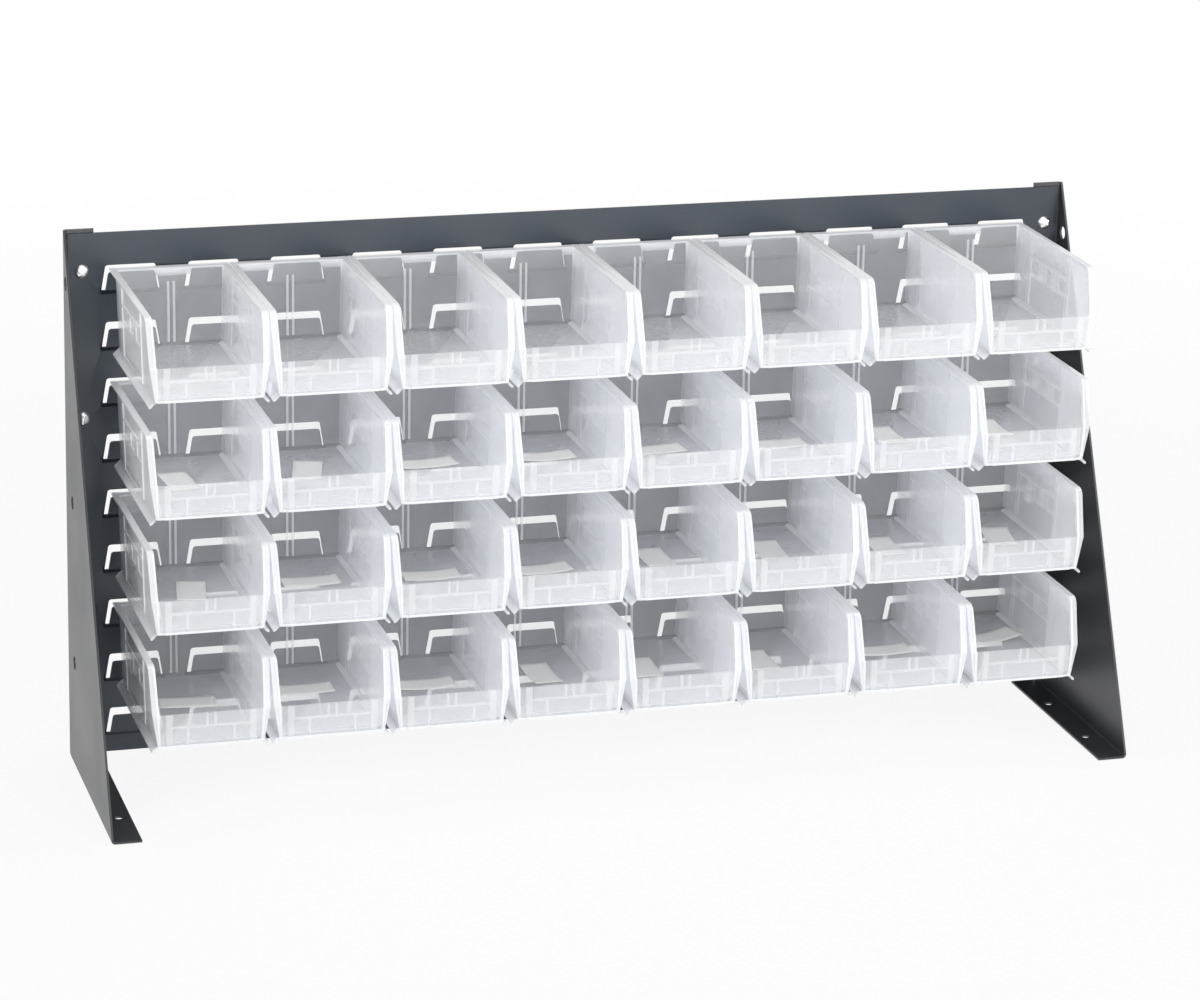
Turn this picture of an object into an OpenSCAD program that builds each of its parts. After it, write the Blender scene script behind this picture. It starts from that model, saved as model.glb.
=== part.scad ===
// Bench rack for hanging bins: a louvered steel panel bolted between two bent end plates,
// with rows of clear bins that hook over the louvers.
// X runs to the right, Y to the back and Z up. The origin is on the bench, under the middle
// of the rack's own box. Sizes are in millimetres.

/* [Layout] */
// Bins side by side
bin_columns = 8; // [3:1:10]
// Rows of bins
bin_rows = 4; // [2:1:5]
// Gap between the rims of neighbouring bins
bin_gap = 0.7; // [0.4:0.1:3]
// Clear height between a bin's rim and the bin above it
row_gap = 25.4; // [22:0.1:60]
// From the outer bins' rims to the panel's side edges
side_margin = 35.6; // [30:0.1:80]

/* [Bin] */
// Width over the rim
bin_w = 104.8; // [90:0.1:140]
// Length from the hanging lip to the front wall
bin_l = 184; // [150:0.5:260]
// Height from the skirts to the rim
bin_h = 76.2; // [66:0.1:110]
// Wall thickness
bin_wall = 2; // [1.4:0.1:3]
// Height of the low front wall, from the skirts' feet
front_h = 35; // [26:0.5:45]
// How far the rim starts behind the front wall's top
front_rake = 12; // [6:0.5:30]
// How far the front and back walls come in at the floor
end_draft = 1.6; // [0.5:0.1:4]
// How far each side wall comes in at the floor
side_draft = 2.3; // [0.5:0.1:5]
// Rim's ledge outside the side walls
rim_ledge = 4; // [2:0.1:7]
// Thickness of the rim and of the bridge over the louver
rim_t = 2.5; // [1.5:0.1:4]
// Radius where the rim turns down into the front edges
rim_corner = 9; // [2:0.5:12]
// Thickness of the flange down each front edge
post_t = 2.6; // [1.5:0.1:5]
// Depth of the hanging lip below the rim
lip_h = 9; // [6:0.1:12]
// Thickness of the hanging lip
lip_t = 2; // [1.2:0.1:3]
// Height of the stacking skirts under the floor
skirt_h = 5; // [3:0.1:8]
// Thickness of the stacking skirts
skirt_t = 1.6; // [1:0.1:3]
// From the rim's edge in to the skirts' tips
skirt_inset = 1.3; // [0.5:0.1:3]
// How far the skirts stop behind the front wall
skirt_setback = 3; // [1:0.5:15]
// Chamfer along the floor's inner edges
floor_chamfer = 3; // [1:0.1:6]

/* [Bin ribs] */
// Height of the moulded ribs outside the walls
rib_h = 0.9; // [0.4:0.1:1.8]
// Width of the moulded ribs
rib_w = 2; // [1:0.1:4]
// Rear rib of the side wall, from the back wall
rear_rib_inset = 33; // [20:0.5:50]
// Front rib of the side wall, from the front wall
front_rib_inset = 57; // [30:0.5:70]
// Upper side rail, below the rim
upper_rail_drop = 23; // [15:0.5:26]
// Lower side rail, above the front wall's top
lower_rail_rise = 3; // [0:0.5:6]
// Raised blocks between the three small cells of the side wall
side_block_w = 14; // [2:0.5:20]
// Plain corner of the front wall, outside its band
front_corner_w = 7; // [4:0.5:12]
// Raised band beside each front corner
front_band_w = 5.5; // [3:0.5:10]
// Front rail, below the front wall's top
front_rail_drop = 12; // [8:0.5:16]
// Width of the front wall's wide lower cell
front_cell_w = 38; // [24:0.5:50]
// Ribs that guide a divider, centre to centre
guide_pitch = 5; // [3.6:0.1:8]
// How far the divider guides stand into the bin
guide_h = 1.4; // [0.6:0.1:2.5]
// Bare height of the back wall above its guides
guide_drop = 12; // [6:0.5:30]

/* [Louver] */
// Thickness of the panel
sheet = 1.5; // [1:0.1:2.5]
// Width of a louver's opening at its foot
louver_w = 52.4; // [40:0.1:60]
// How far each side of the opening comes in at its top
louver_taper = 3.9; // [0:0.1:6]
// Height of the opening, from the fold to its top
louver_h = 25.7; // [22:0.1:32]
// How far a tab stands out from the panel
louver_out = 6.5; // [6:0.1:12]
// Height over which a tab bends out
louver_bend = 5; // [4:0.1:8]
// Slot beside a tab
louver_slot = 1.5; // [1:0.1:5]
// Gap above a tab
louver_gap = 4.8; // [3.5:0.1:6]
// Corner radius of the openings and tabs
louver_r = 2.6; // [1:0.1:5]
// Distance from louver to louver along a row
louver_pitch_x = 73.2; // [66:0.1:95]

/* [Panel] */
// Bare band above the top louvers
top_band = 29.4; // [22:0.1:60]
// Bare band under the lowest louvers
bottom_band = 15.3; // [10:0.1:40]

/* [End plates] */
// Thickness of the end plates
plate_t = 1.9; // [1.2:0.1:3]
// Inside radius of the bends
bend_r = 1.6; // [1:0.1:3]
// Width of the flange behind the panel
flange_w = 27; // [22:0.5:40]
// Width of the foot flange
foot_w = 26.5; // [22:0.5:50]
// How far the feet reach in front of the bins
foot_ahead = 27.3; // [5:0.1:60]
// Upright stretch at the front of each plate, above its bend
foot_rise = 1.5; // [1:0.5:60]
// Depth of each plate's top, in front of the panel
plate_nose = 1; // [1:0.5:30]
// How far the plates stand above the panel
plate_above = 3.5; // [0:0.1:10]
// Notch where the two bends of a plate meet
corner_relief = 7; // [5:0.5:15]

/* [Holes] */
// Foot holes for bench bolts
foot_hole_d = 7.1; // [5:0.1:12]
// Foot holes, from the plate's outer face
foot_hole_inset = 16; // [11:0.5:18]
// Rear foot holes, from the panel
foot_hole_rear = 69.5; // [30:0.5:80]
// Distance between the two holes of a foot
foot_hole_pitch = 88; // [40:0.5:110]
// Holes in the plates' sides
side_hole_d = 12; // [6:0.5:14]
// Lowest side hole above the bench
side_hole_rise = 99.5; // [60:0.5:120]
// Distance between the two lower side holes
side_hole_pitch = 147.5; // [80:0.5:180]
// Lower side holes, in front of the panel
side_hole_inset = 32; // [20:0.5:40]
// Upper side hole, below the plate's top
upper_hole_drop = 45; // [40:0.5:80]
// Upper side hole, in front of the panel
upper_hole_inset = 10.5; // [8:0.5:14]

/* [Fasteners] */
// Screws down each side of the panel
screw_count = 4; // [2:1:6]
// Diameter of the screw's shank
screw_d = 6.2; // [4:0.1:8]
// Length of the screw under its head
screw_l = 12.7; // [12:0.1:20]
// Diameter of the round head
head_d = 12.4; // [9:0.1:16]
// Height of the round head
head_h = 4.2; // [2.5:0.1:6]
// Width of the driver slot
slot_w = 1.7; // [0.8:0.1:2.5]
// Depth of the driver slot
slot_depth = 1.8; // [0.8:0.1:2.2]
// Width of the nut across its flats
nut_flats = 11; // [9:0.1:16]
// Height of the nut
nut_h = 5.4; // [3:0.1:6]
// Diameter of the lock washer
washer_d = 12; // [9:0.1:18]
// Thickness of the lock washer
washer_t = 1.6; // [0.8:0.1:2]
// Cut through the lock washer
washer_split = 1; // [0.5:0.1:2]
// Screws, from the rack's outer face
screw_inset = 16; // [12:0.5:18]
// Top screws, below the panel's top
screw_top = 34; // [20:0.5:60]
// Lowest screws, above the panel's foot
screw_bottom = 45.5; // [20:0.5:80]
// Turn of each screw after the one below it
screw_turn = 35; // [0:5:90]

/* [Clearances] */
// From a bin's back wall to the louver tabs
hang_clear = 2; // [0.3:0.1:4]
// From a bin's bridge to the tab that carries it
seat_clear = 0.3; // [0.1:0.1:1]
// From the hanging lip to the panel
lip_clear = 1.6; // [0.6:0.1:2.5]
// From the panel's edges to the end plates' bends and feet
edge_clear = 0.4; // [0.2:0.1:2]
// From the screws to the panel's and plates' holes, all round
hole_clear = 0.45; // [0.2:0.05:1]
// From the screws to the nuts and washers, all round
thread_clear = 0.1; // [0.05:0.05:0.3]

/* [Hidden] */
$fn = 48;
eps = 0.5;

panel_steel = [0.27, 0.28, 0.31];
plate_steel = [0.36, 0.37, 0.39];
zinc = [0.78, 0.79, 0.8];
clear_plastic = [0.88, 0.91, 0.95];

// Louver rows stand half a bin row apart, with one spare row under the lowest bins
louver_pitch_z = (bin_h + row_gap) / 2;
louver_rows = 2 * bin_rows + 1;

bin_pitch_x = bin_w + bin_gap;
panel_w = bin_columns * bin_pitch_x - bin_gap + 2 * side_margin;
panel_h = top_band + (louver_rows - 1) * louver_pitch_z + louver_h + bottom_band;
bend_out = bend_r + plate_t;
rack_w = panel_w + 2 * (edge_clear + bend_out);

panel_foot = plate_t + edge_clear;
panel_top = panel_foot + panel_h;
plate_h = panel_top + plate_above;

// Louvers fill the width between the flanges
louver_columns = floor((rack_w - 2 * flange_w - louver_w) / louver_pitch_x) + 1;

// Depths are counted from the panel's front face, backwards positive
flange_back = sheet + plate_t;
lip_back = -lip_clear;
bin_back = -(louver_out + hang_clear);
bin_front = lip_back - bin_l;
foot_front = bin_front - foot_ahead;
nut_face = flange_back + washer_t;
rear_reach = max(screw_l, nut_face + nut_h);

// The box's middle stands over the origin
depth_shift = -(foot_front + rear_reach) / 2;

// A bin's own levels, from its skirts' feet
floor_under = skirt_h;
floor_top = floor_under + bin_wall;
rim_under = bin_h - rim_t;
half_top = bin_w / 2 - rim_ledge;
half_floor = half_top - side_draft;

hole_d = screw_d + 2 * hole_clear;
screw_x = rack_w / 2 - screw_inset;

function bin_name(r, c) = str("bin_r", r, "_c", c);

// Top of the opening in louver row i, counted from 0 at the top
function louver_top(i) = panel_top - top_band - i * louver_pitch_z;

// Foot of a bin in row r: its bridge rests on the tab's top edge
function bin_foot(r) = louver_top(2 * (r - 1)) - louver_gap + seat_clear - rim_under;

function bin_x(c) = (c - (bin_columns + 1) / 2) * bin_pitch_x;

function screw_z(i) =
    panel_foot + screw_bottom + i * (panel_h - screw_bottom - screw_top) / (screw_count - 1);

// Half width of a bin's side walls at height z
function wall_half(z) = half_floor + (z - floor_under) * side_draft / (bin_h - floor_under);

// Place of the back wall's outer face at height z
function back_at(z) = bin_back - (bin_h - z) * end_draft / (bin_h - floor_under);

// Place of the slanted front edge at height z
function front_at(z) =
    z < front_h
        ? bin_front + (front_h - z) * end_draft / (front_h - floor_under)
        : bin_front + (z - front_h) * front_rake / (bin_h - front_h);

// Outline drawn as depth and height, carried across a width w
module across(w) {
    rotate([90, 0, 90])
        translate([0, 0, -w / 2])
            linear_extrude(w)
                children();
}

// Outline drawn as width and height, carried from depth y0 back to depth y1
module along(y0, y1) {
    translate([0, y1, 0])
        rotate([90, 0, 0])
            linear_extrude(y1 - y0)
                children();
}

// Both sides of what is drawn on the right
module both_sides() {
    children();
    mirror([1, 0, 0]) children();
}

// Rounded outline that stands on a foot: width w0 at height z0, w1 at height z1
function arch(w0, w1, z0, z1, r, steps = 4) = concat(
    [[-w0 / 2, z0], [w0 / 2, z0]],
    [for (i = [0:steps]) let (a = 90 * i / steps)
        [w1 / 2 - r + r * cos(a), z1 - r + r * sin(a)]],
    [for (i = [0:steps]) let (a = 90 + 90 * i / steps)
        [-w1 / 2 + r + r * cos(a), z1 - r + r * sin(a)]]
);

// Two legs of sheet with a bend between them
module angle_section(leg_x, leg_y, t, r) {
    outer = r + t;
    translate([outer, 0]) square([leg_x - outer, t]);
    translate([0, outer]) square([t, leg_y - outer]);
    intersection() {
        square(outer);
        translate([outer, outer])
            difference() {
                circle(outer);
                circle(r);
            }
    }
}

function louver_x(j) = (j - (louver_columns - 1) / 2) * louver_pitch_x;

// One tab, bent out of the panel, with its opening's top at height 0
module louver_tab() {
    fold = -louver_h;
    tab_top = -louver_gap;
    ear = fold + louver_bend;
    tilt = louver_bend / louver_out;
    lift = sheet * norm([louver_out, louver_bend]) / louver_out;
    narrow = 2 * louver_taper * (ear - fold) / louver_h;
    intersection() {
        across(louver_w + 2 * eps)
            polygon([
                [0, fold - eps], [0, fold],
                [-louver_out, ear], [-louver_out, tab_top],
                [sheet - louver_out, tab_top],
                [sheet - louver_out, fold + lift + (louver_out - sheet) * tilt],
                [sheet, fold + lift - sheet * tilt], [sheet, fold - eps]
            ]);
        along(-2 * louver_out, 2 * sheet) {
            polygon(arch(louver_w - narrow - 2 * louver_slot,
                         louver_w - 2 * (louver_taper + louver_slot), fold, tab_top, louver_r));
            translate([-louver_w / 2 - eps, fold - eps])
                square([louver_w + 2 * eps, ear - fold + eps]);
        }
    }
}

module louver_panel() {
    color(panel_steel)
        translate([0, depth_shift, 0]) {
            along(0, sheet)
                difference() {
                    translate([-panel_w / 2, panel_foot]) square([panel_w, panel_h]);
                    for (i = [0:louver_rows - 1], j = [0:louver_columns - 1])
                        translate([louver_x(j), louver_top(i)])
                            polygon(arch(louver_w, louver_w - 2 * louver_taper, -louver_h, 0, louver_r));
                    for (side = [-1, 1], i = [0:screw_count - 1])
                        translate([side * screw_x, screw_z(i)]) circle(d = hole_d);
                }
            for (i = [0:louver_rows - 1], j = [0:louver_columns - 1])
                translate([louver_x(j), 0, louver_top(i)])
                    louver_tab();
        }
}

// The left plate stands on its foot flange, with the panel in front of its back flange
module end_plate() {
    outer_x = -rack_w / 2;
    side_holes = [
        [-upper_hole_inset, plate_h - upper_hole_drop],
        [-side_hole_inset, side_hole_rise + side_hole_pitch],
        [-side_hole_inset, side_hole_rise]
    ];
    color(plate_steel)
        translate([outer_x, depth_shift, 0])
            difference() {
                union() {
                    translate([plate_t / 2, 0, 0])
                        across(plate_t)
                            polygon([
                                [flange_back - bend_out, bend_out], [foot_front, bend_out],
                                [foot_front, bend_out + foot_rise], [-plate_nose, plate_h],
                                [flange_back - bend_out, plate_h]
                            ]);
                    along(foot_front, flange_back - corner_relief)
                        angle_section(foot_w, bend_out + eps, plate_t, bend_r);
                    translate([0, flange_back, corner_relief])
                        mirror([0, 1, 0])
                            linear_extrude(plate_h - corner_relief)
                                angle_section(flange_w, bend_out + eps, plate_t, bend_r);
                }
                for (i = [0:screw_count - 1])
                    translate([screw_inset, 0, screw_z(i)])
                        rotate([-90, 0, 0]) cylinder(d = hole_d, h = 2 * flange_back);
                for (i = [0, 1])
                    translate([foot_hole_inset, -foot_hole_rear - i * foot_hole_pitch, -eps])
                        cylinder(d = foot_hole_d, h = plate_t + 2 * eps);
                for (hole = side_holes)
                    translate([-eps, hole[0], hole[1]])
                        rotate([0, 90, 0]) cylinder(d = side_hole_d, h = plate_t + 2 * eps);
            }
}

module left_end_plate() {
    end_plate();
}

module right_end_plate() {
    mirror([1, 0, 0]) end_plate();
}

// What is drawn along +Z stands at each screw, pointing to the back
module at_screws() {
    for (side = [-1, 1], i = [0:screw_count - 1])
        translate([side * screw_x, depth_shift, screw_z(i)])
            rotate([-90, 0, 0])
                rotate(screw_turn * (i + 1))
                    children();
}

module panel_screws() {
    dome_r = (pow(head_d / 2, 2) + pow(head_h, 2)) / (2 * head_h);
    color(zinc)
        at_screws() {
            cylinder(d = screw_d, h = screw_l);
            difference() {
                intersection() {
                    translate([0, 0, dome_r - head_h]) sphere(r = dome_r);
                    translate([0, 0, -head_h]) cylinder(d = head_d, h = head_h);
                }
                translate([-head_d / 2, -slot_w / 2, -head_h - eps])
                    cube([head_d, slot_w, slot_depth + eps]);
            }
        }
}

module panel_lock_washers() {
    color(zinc)
        at_screws()
            translate([0, 0, flange_back])
                difference() {
                    cylinder(d = washer_d, h = washer_t);
                    translate([0, 0, -eps])
                        cylinder(d = screw_d + 2 * thread_clear, h = washer_t + 2 * eps);
                    translate([0, -washer_split / 2, -eps])
                        cube([washer_d, washer_split, washer_t + 2 * eps]);
                }
}

module panel_nuts() {
    color(zinc)
        at_screws()
            translate([0, 0, nut_face])
                difference() {
                    cylinder(d = nut_flats / cos(30), h = nut_h, $fn = 6);
                    translate([0, 0, -eps])
                        cylinder(d = screw_d + 2 * thread_clear, h = nut_h + 2 * eps);
                }
}

// Drafted body of a bin, grown by g on its sides
module bin_body(g = 0) {
    intersection() {
        across(2 * bin_w)
            polygon([
                [back_at(bin_h), bin_h], [back_at(floor_under), floor_under],
                [front_at(floor_under), floor_under], [front_at(front_h), front_h],
                [front_at(bin_h), bin_h]
            ]);
        along(2 * bin_front, 0)
            polygon([
                [-half_floor - g, floor_under], [half_floor + g, floor_under],
                [half_top + g, bin_h], [-half_top - g, bin_h]
            ]);
    }
}

// Hollow of a bin: drafted like its body, open at the top and above the front wall
module bin_hollow() {
    over = bin_h + eps;
    ledge = floor_top + floor_chamfer;
    inner = wall_half(floor_top) - bin_wall;
    intersection() {
        across(bin_w)
            polygon([
                [back_at(over) - bin_wall, over],
                [back_at(ledge) - bin_wall, ledge],
                [back_at(floor_top) - bin_wall - floor_chamfer, floor_top],
                [front_at(floor_top) + bin_wall, floor_top],
                [front_at(front_h) + bin_wall, front_h],
                [bin_front - bin_wall, front_h], [bin_front - bin_wall, over]
            ]);
        along(2 * bin_front, 0)
            polygon([
                [-inner + floor_chamfer, floor_top], [inner - floor_chamfer, floor_top],
                [wall_half(ledge) - bin_wall, ledge], [wall_half(over) - bin_wall, over],
                [bin_wall - wall_half(over), over], [bin_wall - wall_half(ledge), ledge]
            ]);
    }
}

// Rim ledge, bridge over the louver and the lip behind it
module bin_rim() {
    across(bin_w)
        polygon([
            [lip_back, bin_h], [lip_back, rim_under],
            [front_at(rim_under), rim_under], [front_at(bin_h), bin_h]
        ]);
    across(2 * half_top)
        translate([lip_back - lip_t, bin_h - lip_h])
            square([lip_t, lip_h - eps]);
}

// What is cut off where the rim turns down into the slanted front edges
module bin_corner_cut(steps = 5) {
    turn = 90 - atan2(front_rake, bin_h - front_h);
    reach = rim_corner * tan(turn / 2);
    across(2 * bin_w)
        polygon(concat(
            [[front_at(bin_h) - rim_corner, bin_h + rim_corner]],
            [for (i = [0:steps]) let (a = 90 + turn * i / steps)
                [front_at(bin_h) + reach + rim_corner * cos(a), bin_h + rim_corner * (sin(a) - 1)]]
        ));
}

// Flange down the two front edges, from the rim to nothing at the floor
module bin_posts() {
    intersection() {
        across(bin_w)
            polygon([
                [front_at(floor_under), floor_under], [front_at(front_h), front_h],
                [front_at(bin_h), bin_h], [front_at(bin_h) + post_t, bin_h],
                [front_at(front_h) + post_t, front_h],
                [front_at(floor_under) + post_t, floor_under]
            ]);
        along(2 * bin_front, 0)
            polygon([
                [-half_floor, floor_under], [half_floor, floor_under],
                [wall_half(front_h) + rim_ledge, front_h], [bin_w / 2, bin_h],
                [-bin_w / 2, bin_h], [-wall_half(front_h) - rim_ledge, front_h]
            ]);
    }
}

// Skirts along the floor's two sides, which sit on the rim of a bin below when stacked
module bin_skirts() {
    tip = bin_w / 2 - skirt_inset;
    both_sides()
        along(bin_front + end_draft + skirt_setback, back_at(floor_under))
            polygon([
                [half_floor - skirt_t, floor_under], [half_floor - skirt_t, floor_top],
                [wall_half(floor_top), floor_top],
                [tip, skirt_t], [tip, 0], [tip - skirt_t, 0]
            ]);
}

// Raised frames outside the two side walls
module bin_side_ribs() {
    rear = bin_back - rear_rib_inset;
    front = bin_front + front_rib_inset;
    upper = bin_h - upper_rail_drop;
    lower = front_h + lower_rail_rise;
    run = rear - front;
    intersection() {
        bin_body(rib_h);
        across(2 * bin_w) {
            for (y = [front, rear])
                translate([y - rib_w / 2, floor_under]) square([rib_w, rim_under - floor_under]);
            for (z = [upper, lower, floor_top])
                translate([front, z - rib_w / 2]) square([run, rib_w]);
            for (k = [1, 2])
                translate([front + run * k / 3 - side_block_w / 2, lower])
                    square([side_block_w, upper - lower]);
        }
    }
}

// Raised bands, rails and cells outside the front wall
module bin_front_ribs() {
    rail = front_h - front_rail_drop;
    band = half_floor - front_corner_w - front_band_w;
    intersection() {
        across(2 * half_floor)
            polygon([
                [front_at(floor_under) - rib_h, floor_under],
                [front_at(floor_under) + bin_wall, floor_under],
                [front_at(front_h) + bin_wall, front_h], [front_at(front_h) - rib_h, front_h]
            ]);
        along(2 * bin_front, 0) {
            both_sides() {
                translate([band, floor_under]) square([front_band_w, front_h - floor_under]);
                translate([front_cell_w / 2, floor_under]) square([rib_w, rail - floor_under]);
                translate([guide_pitch / 2, rail]) square([rib_w, front_h - rail]);
            }
            translate([-band, rail - rib_w / 2]) square([2 * band, rib_w]);
            translate([-band, floor_under]) square([2 * band, rib_w]);
        }
    }
}

// Paired ribs that guide a divider at the middle of the back wall
module bin_guides() {
    guide_top = bin_h - guide_drop;
    both_sides()
        translate([guide_pitch / 2, 0, 0])
            across(rib_w)
                polygon([
                    [back_at(floor_under) - bin_wall / 2, floor_under + bin_wall / 2],
                    [back_at(floor_under) - bin_wall - floor_chamfer, floor_under + bin_wall / 2],
                    [back_at(floor_top) - bin_wall - floor_chamfer, floor_top],
                    [back_at(floor_top + floor_chamfer) - bin_wall - guide_h, floor_top + floor_chamfer],
                    [back_at(guide_top) - bin_wall - guide_h, guide_top],
                    [back_at(guide_top) - bin_wall / 2, guide_top]
                ]);
}

module hanging_bin(r, c) {
    color(clear_plastic)
        translate([bin_x(c), depth_shift, bin_foot(r)]) {
            difference() {
                union() {
                    bin_body();
                    bin_side_ribs();
                    bin_front_ribs();
                    bin_rim();
                    bin_posts();
                    bin_skirts();
                }
                bin_hollow();
                bin_corner_cut();
            }
            bin_guides();
        }
}

louver_panel();
left_end_plate();
right_end_plate();
panel_screws();
panel_lock_washers();
panel_nuts();
for (r = [1:bin_rows], c = [1:bin_columns])
    hanging_bin(r, c);
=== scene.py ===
# %% [markdown]
# # A bench rack with hanging bins
# The rack is a louvered steel panel screwed to two bent end plates. Four rows of eight clear
# bins hook over its louvers, and a loose paper card lies in each bin of the lower three rows.
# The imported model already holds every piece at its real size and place. This lesson loads it as
# a fixed frame and gives each piece its looks, one cell at a time. Lengths are in metres, and
# values that are easier to read in millimetres are multiplied by MM.

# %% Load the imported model
import math

import bmesh
import bpy
import numpy as np
from mathutils import Matrix, Vector


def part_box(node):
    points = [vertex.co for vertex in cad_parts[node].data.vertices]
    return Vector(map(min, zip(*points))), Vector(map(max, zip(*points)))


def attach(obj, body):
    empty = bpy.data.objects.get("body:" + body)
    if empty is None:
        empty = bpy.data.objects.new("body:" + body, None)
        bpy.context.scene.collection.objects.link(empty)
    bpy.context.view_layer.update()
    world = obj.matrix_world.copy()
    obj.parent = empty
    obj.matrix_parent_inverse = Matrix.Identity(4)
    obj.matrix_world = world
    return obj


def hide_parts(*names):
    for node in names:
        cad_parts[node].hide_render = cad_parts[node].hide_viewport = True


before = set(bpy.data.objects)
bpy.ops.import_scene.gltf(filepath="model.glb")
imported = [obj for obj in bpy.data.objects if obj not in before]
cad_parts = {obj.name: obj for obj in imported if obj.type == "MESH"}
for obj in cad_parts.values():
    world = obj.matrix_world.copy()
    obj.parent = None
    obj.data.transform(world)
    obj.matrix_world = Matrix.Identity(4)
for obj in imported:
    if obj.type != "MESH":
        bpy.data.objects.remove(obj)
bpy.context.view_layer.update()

MM = 0.001
scene = bpy.context.scene

# %% [markdown]
# ## Camera
# The rack is seen from the left and a little above, from three and a half metres away. The
# photograph looks like a crop of a wider one, so the lens doesn't point at its middle. Turning the
# camera would lean the upright edges, so its shift moves the picture instead. A camera can be
# aimed by a constraint or by typed angles. Here its three axes are worked out from an azimuth, an
# elevation and a small roll, because each of those can be read off a photograph and changed alone.

# %% Camera
PHOTO_WIDTH = 1200
FOCAL_PIXELS = 4162.9
SHIFT_PIXELS = Vector((120.0, -120.0))
SENSOR_WIDTH = 36.0
AZIMUTH, ELEVATION, ROLL = (math.radians(a) for a in (-15.02, 15.79, 0.81))
DISTANCE, CLIP_END = 3.6068, 50.0
AIM = Vector((-0.1147, 0.0001, 0.3561))


def aimed_matrix(azimuth, elevation, roll, distance, aim):
    """Camera matrix: back points from the aim to the camera, right is level, then both are rolled."""
    back = Vector((math.sin(azimuth) * math.cos(elevation),
                   -math.cos(azimuth) * math.cos(elevation), math.sin(elevation)))
    right = Vector((math.cos(azimuth), math.sin(azimuth), 0))
    up = back.cross(right)
    rolled_right = math.cos(roll) * right + math.sin(roll) * up
    rolled_up = math.cos(roll) * up - math.sin(roll) * right
    matrix = Matrix((rolled_right, rolled_up, back)).transposed().to_4x4()
    matrix.translation = aim + distance * back
    return matrix


camera = bpy.data.objects.new("camera", bpy.data.cameras.new("camera"))
camera.data.sensor_fit = "HORIZONTAL"
camera.data.sensor_width = SENSOR_WIDTH
camera.data.lens = FOCAL_PIXELS * SENSOR_WIDTH / PHOTO_WIDTH
camera.data.shift_x, camera.data.shift_y = SHIFT_PIXELS / PHOTO_WIDTH
camera.data.clip_end = CLIP_END
camera.matrix_world = aimed_matrix(AZIMUTH, ELEVATION, ROLL, DISTANCE, AIM)
scene.collection.objects.link(camera)
scene.camera = camera
print("lens in mm:", round(camera.data.lens, 1), "at", [round(v, 2) for v in camera.location])

# %% [markdown]
# ## Node helper
# Materials and the world are trees of nodes. Written out in full, every node takes a line to add,
# a line for each setting and a line for each link. One small helper adds a node, sets it and links
# its inputs, so that a material reads like a recipe.


# %% Node helper
def place(tree, kind, inputs=None, **settings):
    """Adds a node, applies its settings, and gives each named input a value or a socket to follow."""
    node = tree.nodes.new(kind)
    for name, value in settings.items():
        setattr(node, name, value)
    for name, value in (inputs or {}).items():
        if isinstance(value, bpy.types.NodeSocket):
            tree.links.new(value, node.inputs[name])
        else:
            node.inputs[name].default_value = value
    return node


def seen_directly(tree):
    """One on rays from the camera, a mirror or clear plastic, and zero on rays that light the object."""
    path = place(tree, "ShaderNodeLightPath").outputs
    either = place(tree, "ShaderNodeMath", {0: path["Is Camera Ray"], 1: path["Is Glossy Ray"]},
                   operation="MAXIMUM")
    every = place(tree, "ShaderNodeMath", {0: either.outputs[0], 1: path["Is Transmission Ray"]},
                  operation="MAXIMUM")
    return every.outputs[0]


# %% [markdown]
# ## Studio
# The rack stands on a white sweep under soft light. White all round could come from very strong
# lamps, but then every pale surface would burn out. Instead the world is plain grey light for the
# object, and only rays that are seen directly find it white. The floor works the same way and
# keeps part of its own shading, more of it near the rack, so the rack's shadow stays on it.

# %% Studio
AMBIENT = 0.36
FLOOR_SIZE = 16.0
FLOOR_GAP = 0.2 * MM
NEAR_WHITE, FAR_WHITE = 0.90, 1.0
NEAR, FAR = 0.8, 2.4
PAPER_GREY, PAPER_ROUGHNESS = 0.85, 0.8
CLEAR_LAYERS, LIGHT_BOUNCES = 64, 8

world = bpy.data.worlds.new("studio")
scene.world = world
world.use_nodes = True
world.node_tree.nodes.clear()
strength = place(world.node_tree, "ShaderNodeMapRange",
                 {"Value": seen_directly(world.node_tree), "To Min": AMBIENT, "To Max": 1.0})
sky = place(world.node_tree, "ShaderNodeBackground",
            {"Color": (1.0, 1.0, 1.0, 1.0), "Strength": strength.outputs[0]})
place(world.node_tree, "ShaderNodeOutputWorld", {"Surface": sky.outputs[0]})

sweep_white = bpy.data.materials.new("sweep_white")
sweep_white.use_nodes = True
tree = sweep_white.node_tree
tree.nodes.clear()
paper = place(tree, "ShaderNodeBsdfPrincipled", {"Base Color": (PAPER_GREY, PAPER_GREY, PAPER_GREY, 1),
                                                 "Roughness": PAPER_ROUGHNESS})
glow = place(tree, "ShaderNodeEmission", {"Color": (1, 1, 1, 1), "Strength": 1.0})
where = place(tree, "ShaderNodeTexCoord").outputs["Object"]
away = place(tree, "ShaderNodeVectorMath", {0: where}, operation="LENGTH")
white = place(tree, "ShaderNodeMapRange", {"Value": away.outputs["Value"], "From Min": NEAR, "From Max": FAR,
                                           "To Min": NEAR_WHITE, "To Max": FAR_WHITE})
share = place(tree, "ShaderNodeMath", {0: seen_directly(tree), 1: white.outputs[0]}, operation="MULTIPLY")
both = place(tree, "ShaderNodeMixShader", {0: share.outputs[0], 1: paper.outputs[0], 2: glow.outputs[0]})
place(tree, "ShaderNodeOutputMaterial", {"Surface": both.outputs[0]})

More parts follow.
